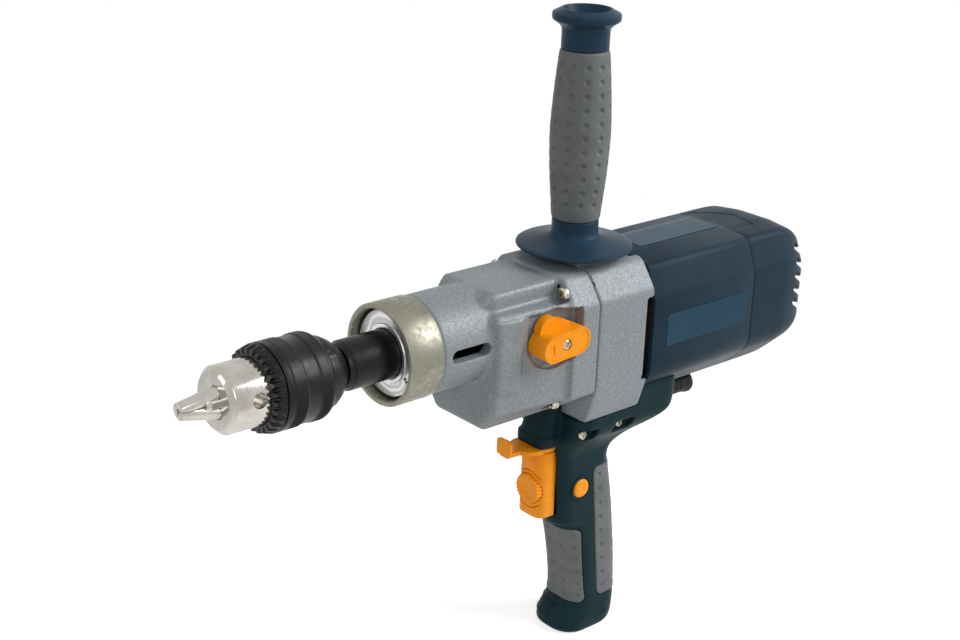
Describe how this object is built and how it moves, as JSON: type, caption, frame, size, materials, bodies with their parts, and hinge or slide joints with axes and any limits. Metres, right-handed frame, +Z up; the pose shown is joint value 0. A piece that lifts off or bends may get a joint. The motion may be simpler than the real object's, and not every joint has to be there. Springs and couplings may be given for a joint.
{
  "type": "electric drill",
  "caption": "Two-speed corded drill with keyed chuck, cast gearbox, upright side handle and pistol grip with trigger, speed dial and reverse lever.",
  "frame": {"origin": "middle of the part's box at the level of the grip's foot", "axes": "+Z up, the chuck points along -X, the selector knob and the lock button face -Y"},
  "size_m": [0.4502, 0.083, 0.3897],
  "materials": {
    "bright_steel": "ground and polished",
    "black_steel": "black oxide",
    "raw_aluminium": "turned, bare",
    "silver_casting": "silver paint, fine speckle",
    "navy_plastic": "fine texture",
    "grip_plastic": "fine texture",
    "orange_plastic": "satin",
    "grey_rubber": "matte",
    "black_rubber": "matte",
    "gear_steel": "machined, oiled",
    "bearing_steel": "ground",
    "copper_wire": "enamelled wire",
    "laminated_iron": "stacked sheet",
    "carbon_block": "graphite",
    "black_plastic": "moulded"
  },
  "bodies": {
    "drill": {"spindle_bearing_front": "bearing_steel", "spindle_bearing_rear": "bearing_steel", "bearing_retainer": "raw_aluminium", "clamp_collar": "raw_aluminium", "gearbox_front": "silver_casting", "gearbox_rear": "silver_casting", "gearbox_screw_1": "bright_steel", "gearbox_screw_2": "bright_steel", "gearbox_screw_3": "bright_steel", "gearbox_screw_4": "bright_steel", "countershaft_bearing_front": "copper_wire", "countershaft_bearing_rear": "copper_wire", "motor_housing": "navy_plastic", "rear_cap": "navy_plastic", "field_stator": "laminated_iron", "field_coil_upper": "copper_wire", "field_coil_lower": "copper_wire", "motor_bearing_front": "bearing_steel", "motor_bearing_rear": "bearing_steel", "carbon_brush_left": "carbon_block", "carbon_brush_right": "carbon_block", "brush_holder_left": "black_plastic", "brush_holder_right": "black_plastic", "side_handle": "navy_plastic", "side_handle_rubber": "grey_rubber", "side_handle_stud": "gear_steel", "grip_left": "grip_plastic", "grip_right": "grip_plastic", "grip_screw_1": "bright_steel", "grip_screw_2": "bright_steel", "grip_pad_front": "grey_rubber", "grip_pad_rear": "grey_rubber", "switch_body": "black_plastic", "cord_gland": "black_rubber"},
    "spindle": {"spindle": "black_steel", "chuck_body": "bright_steel", "low_speed_gear": "gear_steel"},
    "chuck_sleeve": {"chuck_sleeve": "black_steel"},
    "jaw_1": {"chuck_jaw_1": "bright_steel"},
    "jaw_2": {"chuck_jaw_2": "bright_steel"},
    "jaw_3": {"chuck_jaw_3": "bright_steel"},
    "clutch": {"shift_clutch": "gear_steel"},
    "high_gear": {"high_speed_gear": "gear_steel"},
    "countershaft": {"countershaft": "gear_steel", "countershaft_gear": "gear_steel"},
    "armature": {"armature_shaft": "gear_steel", "armature_core": "laminated_iron", "armature_winding": "copper_wire", "commutator": "copper_wire", "cooling_fan": "black_plastic"},
    "selector": {"selector_knob": "orange_plastic", "selector_shaft": "gear_steel", "selector_screw": "bright_steel"},
    "fork": {"selector_fork": "gear_steel"},
    "trigger": {"trigger": "orange_plastic"},
    "speed_dial": {"speed_dial": "orange_plastic"},
    "reverse_lever": {"reverse_lever": "orange_plastic"},
    "lock_button": {"lock_button": "orange_plastic"}
  },
  "joints": [
    {"name": "armature_spin", "type": "hinge", "parent": "drill", "child": "armature", "pos_m": [0.0971, 0.00315, 0.1992], "axis": [1, 0, 0], "continuous": true},
    {"name": "countershaft_spin", "type": "hinge", "parent": "drill", "child": "countershaft", "pos_m": [-0.0079, 0.01567, 0.19094], "axis": [1, 0, 0], "continuous": true},
    {"name": "spindle_spin", "type": "hinge", "parent": "drill", "child": "spindle", "pos_m": [-0.0829, 0.00315, 0.2182], "axis": [1, 0, 0], "continuous": true},
    {"name": "high_gear_spin", "type": "hinge", "parent": "drill", "child": "high_gear", "pos_m": [-0.0229, 0.00315, 0.2182], "axis": [1, 0, 0], "continuous": true},
    {"name": "clutch_slide", "type": "slide", "parent": "spindle", "child": "clutch", "axis": [1, 0, 0], "range_m": [-0.00641, 0]},
    {"name": "fork_slide", "type": "slide", "parent": "drill", "child": "fork", "axis": [1, 0, 0], "range_m": [-0.00641, 0]},
    {"name": "selector_turn", "type": "hinge", "parent": "drill", "child": "selector", "pos_m": [-0.0059, -0.03285, 0.2156], "axis": [0, 1, 0], "range_deg": [0, 180]},
    {"name": "sleeve_turn", "type": "hinge", "parent": "spindle", "child": "chuck_sleeve", "pos_m": [-0.1629, 0.00315, 0.2182], "axis": [1, 0, 0], "range_deg": [0, 2880]},
    {"name": "jaw_1_slide", "type": "slide", "parent": "spindle", "child": "jaw_1", "axis": [0.9744, -0.0843, 0.2086], "range_m": [0, 0.0289]},
    {"name": "jaw_2_slide", "type": "slide", "parent": "spindle", "child": "jaw_2", "axis": [0.9744, -0.1385, -0.1773], "range_m": [0, 0.0289]},
    {"name": "jaw_3_slide", "type": "slide", "parent": "spindle", "child": "jaw_3", "axis": [0.9744, 0.2228, -0.0313], "range_m": [0, 0.0289]},
    {"name": "trigger_pull", "type": "slide", "parent": "drill", "child": "trigger", "axis": [1, 0, 0], "range_m": [0, 0.007], "stiffness_N_per_m": 500, "springref_m": -0.004},
    {"name": "dial_turn", "type": "hinge", "parent": "trigger", "child": "speed_dial", "pos_m": [0.0091, 0.00315, 0.1046], "axis": [1, 0, 0], "range_deg": [0, 300]},
    {"name": "reverse_swing", "type": "hinge", "parent": "drill", "child": "reverse_lever", "pos_m": [0.0181, 0.00315, 0.1342], "axis": [0, 0, 1], "range_deg": [-20, 20]},
    {"name": "lock_press", "type": "slide", "parent": "drill", "child": "lock_button", "axis": [0, 1, 0], "range_m": [0, 0.003], "stiffness_N_per_m": 500, "springref_m": -0.003}
  ],
  "couplings": [
    {"joint": "countershaft_spin", "follows": "armature_spin", "ratio": -0.25},
    {"joint": "spindle_spin", "follows": "armature_spin", "ratio": 0.083333},
    {"joint": "high_gear_spin", "follows": "armature_spin", "ratio": 0.15},
    {"joint": "clutch_slide", "follows": "selector_turn", "m_per_rad": -0.0020372},
    {"joint": "fork_slide", "follows": "selector_turn", "m_per_rad": -0.0020372},
    {"joint": "jaw_1_slide", "follows": "sleeve_turn", "m_per_rad": 0.00057395},
    {"joint": "jaw_2_slide", "follows": "sleeve_turn", "m_per_rad": 0.00057395},
    {"joint": "jaw_3_slide", "follows": "sleeve_turn", "m_per_rad": 0.00057395}
  ]
}
